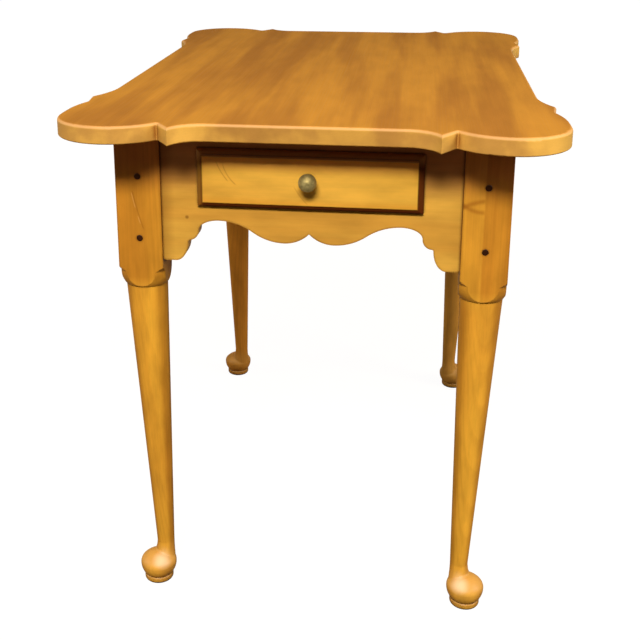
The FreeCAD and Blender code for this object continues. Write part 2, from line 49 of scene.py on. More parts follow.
view_data = bpy.data.cameras.new("photo_view")
view_data.sensor_width = SENSOR
view_data.lens = SENSOR * focal_pixels / PICTURE
view_data.shift_x = (PICTURE / 2 - middle_x) / PICTURE
view_data.shift_y = (middle_y - PICTURE / 2) / PICTURE
view_data.clip_start = 0.05
view_data.clip_end = 200.0
camera = bpy.data.objects.new("photo_view", view_data)
scene.collection.objects.link(camera)
aim = Matrix.Rotation(turn, 4, "Z") @ Matrix.Rotation(math.pi / 2 - tilt, 4, "X")
aim = aim @ Matrix.Rotation(roll, 4, "Z")
camera.matrix_world = Matrix.Translation(eye) @ aim
scene.camera = camera
print("camera", round(view_data.lens, 1), "mm lens")

# %% [markdown]
# ## Small helpers
#
# A finish is a small net of nodes. One helper adds a node, sets it and wires it in one line, which keeps
# the nets readable. Another turns a colour as it is picked on screen, an sRGB hex value, into the linear
# numbers that light is reckoned in. The rest start a finish, put it on a piece, and draw a curve.

# %% Helpers for finishes
def linear(hex_colour):
    channels = [int(hex_colour[i:i + 2], 16) / 255 for i in (1, 3, 5)]
    return tuple(c / 12.92 if c <= 0.04045 else ((c + 0.055) / 1.055) ** 2.4 for c in channels) + (1.0,)


def add(tree, kind, inputs=None, **settings):
    node = tree.nodes.new(kind)
    for name, value in settings.items():
        setattr(node, name, value)
    for name, value in (inputs or {}).items():
        if isinstance(value, bpy.types.NodeSocket):
            tree.links.new(value, node.inputs[name])
        else:
            node.inputs[name].default_value = value
    return node.outputs


def new_finish(name):
    finish = bpy.data.materials.new(name)
    finish.use_nodes = True
    return finish, finish.node_tree, finish.node_tree.nodes["Principled BSDF"]


def wear(name, finish):
    slots = nodes[name].data.materials
    slots.clear()
    slots.append(finish)


def draw_curve(mapping, points):
    curve = mapping.curves[0]
    curve.points[0].location = points[0]
    curve.points[-1].location = points[-1]
    for place, height in points[1:-1]:
        curve.points.new(place, height)
    mapping.update()


print("white is", linear("#ffffff"))

# %% [markdown]
# ## Floor
#
# The table stands on plain white. A white floor that fills the view gives that ground. Its paint is a grey
# that catches the table's soft shadow, and to the camera the floor also glows enough to read as white, a
# little less near the table so that the shadow stays. Anything shiny sees that white floor too, but darker
# close to the table, where a real floor lies in the table's own shade. Without that shade the inner sides of
# the posts would turn milky.

# %% Floor
FLOOR_REACH = 40.0
CORNERS = ((-1, -1), (1, -1), (1, 1), (-1, 1))
floor_mesh = bpy.data.meshes.new("floor")
floor_mesh.from_pydata([(x * FLOOR_REACH, y * FLOOR_REACH, 0.0) for x, y in CORNERS], [], [(0, 1, 2, 3)])
floor = bpy.data.objects.new("floor", floor_mesh)
scene.collection.objects.link(floor)

# Matt paint has no gleam. All it gives the eye is white, and a faint shadow close to the feet.
paint, tree, shader = new_finish("matt_white_floor_paint")
floor_mesh.materials.append(paint)
NEAR, FAR = 0.9, 3.0
GLOW_NEAR, GLOW_FAR = 0.96, 1.0
MIRRORED_NEAR = 0.22
ray = add(tree, "ShaderNodeLightPath")
spot = add(tree, "ShaderNodeTexCoord")["Object"]
away = add(tree, "ShaderNodeVectorMath", {0: spot}, operation="LENGTH")["Value"]
shade = add(tree, "ShaderNodeMapRange", {0: away, "From Min": NEAR, "From Max": FAR,
                                         "To Min": MIRRORED_NEAR}, interpolation_type="SMOOTHSTEP")[0]
seen = add(tree, "ShaderNodeMath", {0: ray["Is Glossy Ray"], 1: ray["Is Transmission Ray"]},
           operation="MAXIMUM")[0]
seen = add(tree, "ShaderNodeMath", {0: seen, 1: shade}, operation="MULTIPLY")[0]
seen = add(tree, "ShaderNodeMath", {0: seen, 1: ray["Is Camera Ray"]}, operation="MAXIMUM")[0]
white = add(tree, "ShaderNodeMapRange", {0: away, "From Min": NEAR, "From Max": FAR, "To Min": GLOW_NEAR,
                                         "To Max": GLOW_FAR})[0]
glow = add(tree, "ShaderNodeMath", {0: seen, 1: white}, operation="MULTIPLY")[0]
tree.links.new(glow, shader.inputs["Emission Strength"])
shader.inputs["Emission Color"].default_value = linear("#ffffff")
shader.inputs["Base Color"].default_value = linear("#5d5448")
shader.inputs["Roughness"].default_value = 1.0
shader.inputs["Specular IOR Level"].default_value = 0.0
print("floor", 2 * FLOOR_REACH, "m wide")

# %% [markdown]
# ## Room
#
# A varnished top is a weak mirror, so what stands above the table matters. The room is dim, with a little
# light from the ceiling and the far wall, and the top keeps its own colour. A brighter room would lay a grey
# veil on the wood and fill the dark shadow under the top.

# %% Room
ROOM_SHADES = ((0, 0.1), (6, 0.02), (32, 0.02), (52, 0.25), (90, 0.3))
WALL_SHADE = 0.06
WALL_FROM, WALL_FULL = 0.2, 0.7
room = bpy.data.worlds.new("studio_room")
scene.world = room
room.use_nodes = True
tree = room.node_tree
sight = add(tree, "ShaderNodeTexCoord")["Generated"]
ways = add(tree, "ShaderNodeSeparateXYZ", {0: sight})
shade = add(tree, "ShaderNodeFloatCurve", {"Value": ways[2]})[0]
draw_curve(shade.node.mapping, [(math.sin(math.radians(up)), level) for up, level in ROOM_SHADES])
wall = add(tree, "ShaderNodeMapRange", {0: ways[1], "From Min": WALL_FROM, "From Max": WALL_FULL,
                                        "To Max": WALL_SHADE}, interpolation_type="SMOOTHSTEP")[0]
strength = add(tree, "ShaderNodeMath", {0: shade, 1: wall}, operation="ADD")[0]
background = tree.nodes["Background"]
tree.links.new(strength, background.inputs["Strength"])
background.inputs["Color"].default_value = linear("#fff0dc")
print("room shades by degrees up", ROOM_SHADES)

# %% [markdown]
# ## Lamps
#
# The shadow that the top throws on the drawer says where the main lamp was: in front and forty degrees up.
# The notches beside the lobes leave no mark in that shadow, so the lamp was much wider than it was tall.
# It is near enough for the back of the table to be darker than the front. The outer sides of the legs are
# brighter than the inner ones, so a weaker lamp stands on either side, low enough to reach the back legs
# under the top. A soft lamp behind keeps the back from going black, and it is hidden from mirrors so that it
# draws no bright patch on the varnish.

# %% Lamps
def lamp(name, place, target, width, height, watts, colour="#fffaf4"):
    data = bpy.data.lights.new(name, "AREA")
    data.shape = "RECTANGLE"
    data.size = width
    data.size_y = height
    data.energy = watts
    data.color = linear(colour)[:3]
    body = bpy.data.objects.new(name, data)
    scene.collection.objects.link(body)
    body.location = place
    body.rotation_euler = (Vector(target) - Vector(place)).to_track_quat("-Z", "Y").to_euler()
    return body


KEY_AWAY = 2.8
key_way = Vector((-0.02, -0.74, 0.666)).normalized()
drawer_top = Vector((0.0, -0.42, 0.64))
table_middle = (0.0, 0.0, 0.4)
lamp("key_lamp", drawer_top + KEY_AWAY * key_way, drawer_top, width=1.2, height=0.5, watts=109.0,
     colour="#fff4e6")
lamp("left_lamp", (-2.1, -0.6, 1.0), table_middle, width=0.9, height=0.9, watts=12.0)
lamp("right_lamp", (2.1, -0.6, 1.5), table_middle, width=0.9, height=0.9, watts=32.0)
rear = lamp("rear_lamp", (-0.7, 2.9, 1.1), table_middle, width=1.6, height=1.6, watts=14.0)
rear.visible_glossy = False

# %% [markdown]
# ## Pine, the way a tree grows it
#
# A pine board shows the year rings of its tree, cut along their length. A flat photo of wood would have to
# be laid on every face and never matches at the edges. Here the whole tree is described instead: rings round
# a heart line, with a soft pale part and a hard dark part each year, and a slow wander of the trunk. Each
# board is cut out of its own place in a tree, so faces, edges and end grain all agree.
#
# The wander is drawn as clouds, and so are fibres, streaks and blotches later on. Each is stretched to its
# size in millimetres: across the grain, through the board, and along the grain.

# %% Year rings
MM = 1000.0
TREE_STEP_MM = 1370.0
ACROSS_THROUGH_ALONG = {"X": (1, 2, 0), "Y": (0, 2, 1), "Z": (0, 1, 2)}
WANDER_MM = 22.0
WANDER_SIZE_MM = (80.0, 80.0, 520.0)
YEAR = ((0.0, 0.25), (0.12, 0.0), (0.5, 0.1), (0.85, 0.9), (1.0, 0.25))


def place_in_tree(tree, spot, grain, seed):
    axes = add(tree, "ShaderNodeSeparateXYZ", {0: spot})
    across, through, along = (axes[i] for i in ACROSS_THROUGH_ALONG[grain])
    along = add(tree, "ShaderNodeMath", {0: along, 1: TREE_STEP_MM * seed}, operation="ADD")[0]
    return add(tree, "ShaderNodeCombineXYZ", {0: across, 1: through, 2: along})[0]


def clouds(tree, place, size_mm, detail):
    cells = tuple(1 / mm for mm in size_mm)
    place = add(tree, "ShaderNodeVectorMath", {0: place, 1: cells}, operation="MULTIPLY")[0]
    return add(tree, "ShaderNodeTexNoise", {"Vector": place, "Scale": 1.0, "Detail": detail})


def year_rings(tree, place, heart, ring_mm):
    bend = clouds(tree, place, WANDER_SIZE_MM, detail=2.0)["Color"]
    bent = add(tree, "ShaderNodeVectorMath", {0: bend, 1: (WANDER_MM, WANDER_MM, 0.0), 2: place},
               operation="MULTIPLY_ADD")[0]
    middle = (heart[0] + WANDER_MM / 2, heart[1] + WANDER_MM / 2, 0.0)
    out = add(tree, "ShaderNodeVectorMath", {0: bent, 1: middle}, operation="SUBTRACT")[0]
    out = add(tree, "ShaderNodeVectorMath", {0: out, 1: (1.0, 1.0, 0.0)}, operation="MULTIPLY")[0]
    age = add(tree, "ShaderNodeVectorMath", {0: out}, operation="LENGTH")["Value"]
    year = add(tree, "ShaderNodeMath", {0: age, 1: ring_mm}, operation="DIVIDE")[0]
    year = add(tree, "ShaderNodeMath", {0: year}, operation="FRACT")[0]
    late_wood = add(tree, "ShaderNodeFloatCurve", {"Value": year})[0]
    draw_curve(late_wood.node.mapping, YEAR)
    return late_wood


print("grain can run along", list(ACROSS_THROUGH_ALONG))

# %% [markdown]
# ## The colour of the wood
#
# The early wood of each year is pale and the late wood darker. Over that lie long smoky streaks, where stain
# soaked in, then fine fibres and soft blotches that lighten and darken the colour a little. Real fibres are
# 0.04 mm wide, too fine to show from here, so they are drawn as bundles 1.6 mm wide.

# %% Colour of the wood
FIBRE_WIDE_MM = 1.6
STREAK_LONG_MM = 480.0
BLOTCH_MM = (22.0, 22.0, 60.0)
CLOUD_SPAN = {"From Min": 0.3, "From Max": 0.7}
STREAK_SPAN = {"From Min": 0.36, "From Max": 0.66}


def wood_colour(tree, place, late_wood, fibre, look):
    streak_size = (look["streak_mm"], look["streak_mm"], STREAK_LONG_MM)
    streak = clouds(tree, place, streak_size, detail=3.0)["Fac"]
    streak = add(tree, "ShaderNodeMapRange", {0: streak, **STREAK_SPAN, "To Max": look["stain_amount"]},
                 interpolation_type="SMOOTHSTEP")[0]
    blotch = clouds(tree, place, BLOTCH_MM, detail=3.0)["Fac"]
    late_share = add(tree, "ShaderNodeMath", {0: late_wood, 1: look["rings"]}, operation="MULTIPLY")[0]
    wood = add(tree, "ShaderNodeMix", {0: late_share, 6: linear(look["early"]), 7: linear(look["late"])},
               data_type="RGBA")[2]
    wood = add(tree, "ShaderNodeMix", {0: streak, 6: wood, 7: linear(look["stain"])}, data_type="RGBA")[2]
    for pattern, depth in ((fibre, look["fibre_depth"]), (blotch, look["blotch"])):
        light = add(tree, "ShaderNodeMapRange", {0: pattern, **CLOUD_SPAN, "To Min": 1 - depth,
                                                 "To Max": 1 + depth})[0]
        wood = add(tree, "ShaderNodeVectorMath", {0: wood, 1: light}, operation="MULTIPLY")[0]
    return wood


print("fibres", FIBRE_WIDE_MM, "mm wide")

# %% [markdown]
# ## The varnish
#
# On the wood lies an old amber varnish. It is darker where a rag could not reach, which the open air round a
# spot tells, and that same darkening paints the shade in its hollows and creases. It is also darker along
# sharp edges, where it was brushed off the arris and dried in a line. That line is found the other way
# round, by how little wood lies behind the surface. Reaches and relief are in metres.
#
# The varnish is not equally bright all over. People wipe and wax what they can see from above, so faces that
# look up keep some sheen and upright faces have gone dull. The way a face points decides how much it shines.

# %% Varnish
AIR_SAMPLES = 6
AIR_SPAN = {"From Min": 0.35, "From Max": 0.9}
EDGE_LINE = 0.003
EDGE_SPAN = {"From Min": 0.92, "From Max": 0.6}
EDGE_BROWN = "#5b2f0e"
UP_SPAN = {"From Min": 0.1, "From Max": 0.7}
UPRIGHT_SHINE = 0.15
SMOOTHER, ROUGHER = 0.05, 0.06
LATE_RELIEF = 0.4
FIBRE_RELIEF = 0.00015
RELIEF_STRENGTH = 0.06


def varnish(tree, shader, wood, late_wood, fibre, look):
    # Glaze and painted shade: the colour turns to the glaze where little open air surrounds a spot.
    air = add(tree, "ShaderNodeAmbientOcclusion", {"Distance": look["glaze_and_shade_reach"]},
              samples=AIR_SAMPLES)["AO"]
    clear_of_glaze_and_shade = add(tree, "ShaderNodeMapRange", {0: air, **AIR_SPAN}, interpolation_type="SMOOTHSTEP")[0]
    colour = add(tree, "ShaderNodeMix", {0: clear_of_glaze_and_shade, 6: linear(look["glaze_and_shading"]), 7: wood}, data_type="RGBA")[2]
    if look["edge_glaze"]:
        behind = add(tree, "ShaderNodeAmbientOcclusion", {"Distance": EDGE_LINE}, samples=AIR_SAMPLES,
                     inside=True)["AO"]
        edge = add(tree, "ShaderNodeMapRange", {0: behind, **EDGE_SPAN, "To Max": look["edge_glaze"]})[0]
        colour = add(tree, "ShaderNodeMix", {0: edge, 6: colour, 7: linear(EDGE_BROWN)}, data_type="RGBA")[2]
    tree.links.new(colour, shader.inputs["Base Color"])

    gloss = add(tree, "ShaderNodeMapRange", {0: fibre, **CLOUD_SPAN, "To Min": look["rough"] - SMOOTHER,
                                             "To Max": look["rough"] + ROUGHER})[0]
    tree.links.new(gloss, shader.inputs["Roughness"])
    up = add(tree, "ShaderNodeSeparateXYZ", {0: add(tree, "ShaderNodeNewGeometry")["Normal"]})[2]
    polish = add(tree, "ShaderNodeMapRange", {0: up, **UP_SPAN, "To Min": UPRIGHT_SHINE * look["shine"],
                                              "To Max": look["shine"]})[0]
    tree.links.new(polish, shader.inputs["Specular IOR Level"])
    relief = add(tree, "ShaderNodeMath", {0: late_wood, 1: LATE_RELIEF, 2: fibre},
                 operation="MULTIPLY_ADD")[0]
    bump = add(tree, "ShaderNodeBump", {"Height": relief, "Distance": FIBRE_RELIEF,
                                        "Strength": RELIEF_STRENGTH})[0]
    tree.links.new(bump, shader.inputs["Normal"])


print("dark edge line", EDGE_LINE * MM, "mm")

# %% [markdown]
# ## A board, its wear and its painted light
#
# A board is rings, colour and varnish put together, with the numbers of its look. The numbers below are
# those of plain pine, and each kind of board changes some of them.
#
# Wear and painted light are added as washes. A wash is a small function that takes the wood's colour at a
# spot and gives it back changed: paler, browner or scratched. A mark is a wash that follows part of a
# circle, which is enough for a scratch, a scar or the bands round a knot. Places and widths are in
# millimetres.

# %% Boards and marks
PINE = {"rings": 0.35, "ring_mm": 3.4, "stain_amount": 0.6, "streak_mm": 38.0, "fibre_mm": 110.0,
        "fibre_depth": 0.12, "blotch": 0.14, "rough": 0.36, "shine": 0.3, "glaze_and_shading": "#1d0b03",
        "glaze_and_shade_reach": 0.010, "edge_glaze": 0.0}
MARK_FADE = 3.0


def pine(name, grain, heart, seed, look, washes=()):
    finish, tree, shader = new_finish(name)
    spot = add(tree, "ShaderNodeTexCoord")["Object"]
    spot = add(tree, "ShaderNodeVectorMath", {0: spot, 1: (MM, MM, MM)}, operation="MULTIPLY")[0]
    place = place_in_tree(tree, spot, grain, seed)
    late_wood = year_rings(tree, place, heart, look["ring_mm"])
    fibre = clouds(tree, place, (FIBRE_WIDE_MM, FIBRE_WIDE_MM, look["fibre_mm"]), detail=3.0)["Fac"]
    wood = wood_colour(tree, place, late_wood, fibre, look)
    for wash in washes:
        wood = wash(tree, spot, wood)
    varnish(tree, shader, wood, late_wood, fibre, look)
    return finish


def mark(middle, radius, x_span, z_span, width, colour, amount):
    def wash(tree, spot, wood):
        middle_spot = (middle[0], 0.0, middle[1])
        way = add(tree, "ShaderNodeVectorMath", {0: spot, 1: middle_spot}, operation="SUBTRACT")[0]
        way = add(tree, "ShaderNodeVectorMath", {0: way, 1: (1.0, 0.0, 1.0)}, operation="MULTIPLY")[0]
        off = add(tree, "ShaderNodeVectorMath", {0: way}, operation="LENGTH")["Value"]
        off = add(tree, "ShaderNodeMath", {0: off, 1: radius}, operation="SUBTRACT")[0]
        off = add(tree, "ShaderNodeMath", {0: off}, operation="ABSOLUTE")[0]
        line = add(tree, "ShaderNodeMapRange", {0: off, "From Min": width, "From Max": 0.0,
                                                "To Max": amount}, interpolation_type="SMOOTHSTEP")[0]
        axes = add(tree, "ShaderNodeSeparateXYZ", {0: spot})
        for axis, (low, high) in ((axes[0], x_span), (axes[2], z_span)):
            for end, fade in ((low, MARK_FADE), (high, -MARK_FADE)):
                part = add(tree, "ShaderNodeMapRange", {0: axis, "From Min": end, "From Max": end + fade})[0]
                line = add(tree, "ShaderNodeMath", {0: line, 1: part}, operation="MULTIPLY")[0]
        return add(tree, "ShaderNodeMix", {0: line, 6: wood, 7: linear(colour)}, data_type="RGBA")[2]
    return wash


print("plain pine has a ring every", PINE["ring_mm"], "mm")

# %% [markdown]
# ## The top
#
# Five boards are glued edge to edge. Each comes from another part of a log and has its own rings, but the
# stain was wiped over the finished top, so its smoky streaks run across the joints and hide them. A lathe
# cannot make the outline with its four round lobes: it is sawn to a pattern after gluing. The sawn edge took
# less stain than the planed face, so it is more golden, most of all round the lobes, and that paler colour
# also holds a painted sheen. A pale band painted along the rounded rim is a painted highlight.

# %% Top boards
# Upright edges paler: partly the sawn edge's own colour, partly painted sheen, more round the lobes.
def golden_edge_and_sheen(tree, spot, wood):
    flat, steep = 0.9, 0.3
    lobes_from, lobes_full = 95.0, 150.0
    middle_tint, lobe_tint = (1.0, 1.23, 1.9), (1.24, 1.58, 2.45)
    facing = add(tree, "ShaderNodeSeparateXYZ", {0: add(tree, "ShaderNodeNewGeometry")["Normal"]})[2]
    facing = add(tree, "ShaderNodeMath", {0: facing}, operation="ABSOLUTE")[0]
    upright = add(tree, "ShaderNodeMapRange", {0: facing, "From Min": flat, "From Max": steep})[0]
    side = add(tree, "ShaderNodeVectorMath", {0: spot}, operation="ABSOLUTE")[0]
    side = add(tree, "ShaderNodeSeparateXYZ", {0: side})[0]
    lobes = add(tree, "ShaderNodeMapRange", {0: side, "From Min": lobes_from, "From Max": lobes_full})[0]
    tint = add(tree, "ShaderNodeMix", {0: lobes, 4: middle_tint, 5: lobe_tint}, data_type="VECTOR")[1]
    paler = add(tree, "ShaderNodeVectorMath", {0: wood, 1: tint}, operation="MULTIPLY")[0]
    return add(tree, "ShaderNodeMix", {0: upright, 6: wood, 7: paler}, data_type="RGBA")[2]


# A pale band painted along the rounded rim: a painted highlight.
def painted_rim_highlight(tree, spot, wood):
    face, rim_upper, rim_lower, side = 0.99, 0.8, 0.45, 0.15
    lightening, pale_amount = "#f0c088", 0.42
    facing = add(tree, "ShaderNodeSeparateXYZ", {0: add(tree, "ShaderNodeNewGeometry")["Normal"]})[2]
    over = add(tree, "ShaderNodeMapRange", {0: facing, "From Min": face, "From Max": rim_upper,
                                            "To Max": pale_amount})[0]
    under = add(tree, "ShaderNodeMapRange", {0: facing, "From Min": side, "From Max": rim_lower})[0]
    rim = add(tree, "ShaderNodeMath", {0: over, 1: under}, operation="MULTIPLY")[0]
    return add(tree, "ShaderNodeMix", {0: rim, 6: wood, 7: linear(lightening)}, data_type="RGBA")[2]


# Planed pine under old satin varnish: a warm brown gold with smoky streaks, a dull sheen, painted sheen on
# the edge and a painted highlight on the rim.
TOP = {**PINE, "early": "#c88b33", "late": "#ab7025", "stain": "#9b6328", "rings": 0.05,
       "stain_amount": 0.65, "streak_mm": 42.0, "fibre_mm": 300.0, "fibre_depth": 0.02, "blotch": 0.05,
       "rough": 0.5, "shine": 0.12, "glaze_and_shading": "#8a4a12"}
top_hearts = {
    "top_board_left_edge": (-250.0, 560.0),
    "top_board_left_inner": (-120.0, 590.0),
    "top_board_centre": (10.0, 760.0),
    "top_board_right_inner": (120.0, 600.0),
    "top_board_right_edge": (260.0, 575.0),
}
STAIN_PLACE = 4
for board, heart in top_hearts.items():
    wear(board, pine("varnished_pine_" + board, "Y", heart, STAIN_PLACE, TOP, (golden_edge_and_sheen, painted_rim_highlight)))
print("top boards", len(top_hearts))

# %% [markdown]
# ## Wear and painted light on the legs
#
# The fronts of the turned parts are painted lighter where light falls on them, and the wood close under
# the top gets painted shade, darker and browner. Shoes have scuffed the pad feet paler, their upper faces
# carry a painted sheen, and a painted highlight sits on the inner side of each crown. The front right stick
# was glued up from two staves, and its joint shows as a line down the middle of the post, with the paler
# stave towards the drawer.

# %% Wear and painted light on the legs
# Painted shade: the wood under the top is made darker and browner, where the top's shadow falls.
def painted_shade_under_top(tree, spot, wood):
    unshaded_to, brown_from = 578.0, 628.0
    brown_tint = (0.78, 0.61, 1.15)
    height = add(tree, "ShaderNodeSeparateXYZ", {0: spot})[2]
    under_top = add(tree, "ShaderNodeMapRange", {0: height, "From Min": unshaded_to, "From Max": brown_from},
                    interpolation_type="SMOOTHSTEP")[0]
    browner = add(tree, "ShaderNodeVectorMath", {0: wood, 1: brown_tint}, operation="MULTIPLY")[0]
    return add(tree, "ShaderNodeMix", {0: under_top, 6: wood, 7: browner}, data_type="RGBA")[2]


def glue_line(tree, spot, wood):
    joint, pale_from = 214.0, 211.5
    turning_to, post_from = 440.0, 470.0
    pale_tint = (1.22, 1.36, 1.4)
    axes = add(tree, "ShaderNodeSeparateXYZ", {0: spot})
    inner = add(tree, "ShaderNodeMapRange", {0: axes[0], "From Min": joint, "From Max": pale_from})[0]
    on_post = add(tree, "ShaderNodeMapRange", {0: axes[2], "From Min": turning_to, "From Max": post_from})[0]
    stave = add(tree, "ShaderNodeMath", {0: inner, 1: on_post}, operation="MULTIPLY")[0]
    paler = add(tree, "ShaderNodeVectorMath", {0: wood, 1: pale_tint}, operation="MULTIPLY")[0]
    return add(tree, "ShaderNodeMix", {0: stave, 6: wood, 7: paler}, data_type="RGBA")[2]


# Painted light: the fronts of the turnings are made paler, most where they face the front.
def painted_light_on_turning(tree, spot, wood):
    post_to, leg_from = 470.0, 452.0
    aside, facing_front = -0.6, -0.97
    light_tint = (1.4, 1.58, 1.65)
    height = add(tree, "ShaderNodeSeparateXYZ", {0: spot})[2]
    below_post = add(tree, "ShaderNodeMapRange", {0: height, "From Min": post_to, "From Max": leg_from})[0]
    facing = add(tree, "ShaderNodeSeparateXYZ", {0: add(tree, "ShaderNodeNewGeometry")["Normal"]})[1]
    lit_front = add(tree, "ShaderNodeMapRange", {0: facing, "From Min": aside, "From Max": facing_front},
                interpolation_type="SMOOTHSTEP")[0]
    lit_front = add(tree, "ShaderNodeMath", {0: lit_front, 1: below_post}, operation="MULTIPLY")[0]
    paler = add(tree, "ShaderNodeVectorMath", {0: wood, 1: light_tint}, operation="MULTIPLY")[0]
    return add(tree, "ShaderNodeMix", {0: lit_front, 6: wood, 7: paler}, data_type="RGBA")[2]


# Paler crown: scuffed wood and painted sheen on its upper faces, with a painted highlight on the inner side.
def scuffed_foot_and_highlight(tree, spot, wood):
    ankle, foot = 66.0, 34.0
    underside, upper, pale_amount = -0.5, 0.6, 0.6
    highlight_spot, highlight_edge, highlight_core, highlight_amount = (206.0, 351.0, 42.0), 19.0, 3.0, 0.62
    height = add(tree, "ShaderNodeSeparateXYZ", {0: spot})[2]
    low = add(tree, "ShaderNodeMapRange", {0: height, "From Min": ankle, "From Max": foot},
              interpolation_type="SMOOTHSTEP")[0]
    facing = add(tree, "ShaderNodeSeparateXYZ", {0: add(tree, "ShaderNodeNewGeometry")["Normal"]})[2]
    crown = add(tree, "ShaderNodeMapRange", {0: facing, "From Min": underside, "From Max": upper,
                                             "To Max": pale_amount})[0]
    scuff_and_sheen = add(tree, "ShaderNodeMath", {0: low, 1: crown}, operation="MULTIPLY")[0]
    wood = add(tree, "ShaderNodeMix", {0: scuff_and_sheen, 6: wood, 7: linear("#e5ae58")}, data_type="RGBA")[2]
    painted_highlight = add(tree, "ShaderNodeVectorMath", {0: spot}, operation="ABSOLUTE")[0]
    painted_highlight = add(tree, "ShaderNodeVectorMath", {0: painted_highlight, 1: highlight_spot}, operation="DISTANCE")["Value"]
    painted_highlight = add(tree, "ShaderNodeMapRange", {0: painted_highlight, "From Min": highlight_edge, "From Max": highlight_core,
                                              "To Max": highlight_amount}, interpolation_type="SMOOTHSTEP")[0]
    return add(tree, "ShaderNodeMix", {0: painted_highlight, 6: wood, 7: linear("#ffe9c4")}, data_type="RGBA")[2]


DARK_SCAR, PALE_SCAR, KNOT_BAND = "#8a5216", "#e8b264", "#8a4a12"
post_scar = (mark((169.6, 660.1), 400.0, (-228.0, -208.0), (534.0, 586.0), 1.6, DARK_SCAR, 0.4),
             mark((167.9, 660.1), 400.0, (-228.0, -211.0), (562.0, 584.0), 1.2, PALE_SCAR, 0.34),
             mark((167.9, 660.1), 400.0, (-228.0, -211.0), (541.0, 553.0), 1.2, PALE_SCAR, 0.34))
knot_bands = (mark((224.2, 508.1), 80.0, (184.0, 214.0), (574.0, 593.0), 5.0, KNOT_BAND, 0.5),
              mark((212.1, 614.4), 41.5, (184.0, 214.0), (566.0, 586.0), 4.8, KNOT_BAND, 0.46))
print("marks on the posts", len(post_scar) + len(knot_bands))

# %% [markdown]
# ## Legs
#
# Each leg is one stick, turned between centres, so its rings run up the post and cut out in long tongues
# where the leg tapers. The back legs stand in the top's shade. The left one gets a redder copy of the leg
# colours, a painted tint of the warm light in that shade, and the right one a paler copy, painted light in
# place of the light that reaches it from the right.

# %% Legs
# Turned pine, its varnish gone satin: gold with painted light on the fronts, painted shade under the top,
# and dark glaze with painted shade in each crease.
LEG = {**PINE, "early": "#cb8e2c", "late": "#a2671c", "stain": "#b27323", "rings": 0.2, "fibre_depth": 0.045,
       "rough": 0.48, "shine": 0.4, "glaze_and_shading": "#2a1005", "glaze_and_shade_reach": 0.014, "edge_glaze": 0.4}
# Painted shade tint: a redder copy of the leg colours for the back left leg in the top's shade.
SHADE_TINTED_LEG = {**LEG, "early": "#de9030", "late": "#b26a20", "stain": "#c37826"}
# Painted light: a paler copy of the leg colours for the back right leg, lit from the right.
PAINTED_LIGHT_LEG = {**LEG, "early": "#eaa646", "late": "#c58732", "stain": "#d4963c"}
front_wear_and_painted_light = (painted_light_on_turning, painted_shade_under_top, scuffed_foot_and_highlight)
legs = {
    "front_left_leg": ((-235.0, -300.0), 11, LEG, (*front_wear_and_painted_light, *post_scar)),
    "front_right_leg": ((190.0, -290.0), 12, LEG, (glue_line, *front_wear_and_painted_light, *knot_bands)),
    "rear_left_leg": ((-180.0, 380.0), 13, SHADE_TINTED_LEG, (scuffed_foot_and_highlight,)),
    "rear_right_leg": ((250.0, 300.0), 14, PAINTED_LIGHT_LEG, (scuffed_foot_and_highlight,)),
}
for leg, (heart, seed, look, washes) in legs.items():
    wear(leg, pine("turned_pine_" + leg, "Z", heart, seed, look, washes))
print("legs", len(legs))

# %% [markdown]
# ## Aprons
#
# The aprons are thin boards sawn to a scalloped skirt, cloudy where the varnish soaked in unevenly. The
# front one has bleached to straw, with painted shade under the top and painted light on its shaded sawn
# edges. It turns browner towards the posts and has a pin knot near its left end. The three that light
# seldom reached are still amber.

# %% Aprons
# Browner towards the posts, over a wider band at the left end.
def browner_by_posts(tree, spot, wood):
    left_end = {"From Min": -170.0, "From Max": -187.0, "To Max": 0.4}
    right_end = {"From Min": 183.0, "From Max": 187.0, "To Max": 0.5}
    side = add(tree, "ShaderNodeSeparateXYZ", {0: spot})[0]
    left = add(tree, "ShaderNodeMapRange", {0: side, **left_end})[0]
    right = add(tree, "ShaderNodeMapRange", {0: side, **right_end})[0]
    brown = add(tree, "ShaderNodeMath", {0: left, 1: right}, operation="MAXIMUM")[0]
    return add(tree, "ShaderNodeMix", {0: brown, 6: wood, 7: linear("#6a370f")}, data_type="RGBA")[2]


# Painted light: the sawn edge faces, which sit in shade, are made paler.
def painted_light_on_sawn_edge(tree, spot, wood):
    planed, sawn_from = 0.8, 0.3
    pale_tint = (1.4, 1.4, 1.4)
    facing = add(tree, "ShaderNodeSeparateXYZ", {0: add(tree, "ShaderNodeNewGeometry")["Normal"]})[1]
    facing = add(tree, "ShaderNodeMath", {0: facing}, operation="ABSOLUTE")[0]
    sawn = add(tree, "ShaderNodeMapRange", {0: facing, "From Min": planed, "From Max": sawn_from})[0]
    paler = add(tree, "ShaderNodeVectorMath", {0: wood, 1: pale_tint}, operation="MULTIPLY")[0]
    return add(tree, "ShaderNodeMix", {0: sawn, 6: wood, 7: paler}, data_type="RGBA")[2]


# Sawn pine that drank its varnish unevenly: cloudy straw yellow, with a thin dark line along each edge.
APRON = {**PINE, "early": "#d7a645", "late": "#bf8b34", "stain": "#bd8533", "rings": 0.05,
         "fibre_depth": 0.025, "blotch": 0.12, "shine": 0.3, "glaze_and_shade_reach": 0.005, "edge_glaze": 0.5}
AMBER_APRON = {**APRON, "early": "#d99a3c", "late": "#bb802d", "stain": "#b97b2d"}
pin_knot = mark((-154.5, 552.3), 1.0, (-162.0, -147.0), (545.0, 560.0), 2.2, "#80501c", 0.75)
aprons = {
    "front_apron": ("X", (-300.0, 640.0), 21, APRON, (painted_shade_under_top, browner_by_posts, pin_knot, painted_light_on_sawn_edge)),
    "rear_apron": ("X", (420.0, 640.0), 22, AMBER_APRON, ()),
    "left_apron": ("Y", (-300.0, 560.0), 23, AMBER_APRON, ()),
    "right_apron": ("Y", (300.0, 560.0), 24, AMBER_APRON, ()),
}
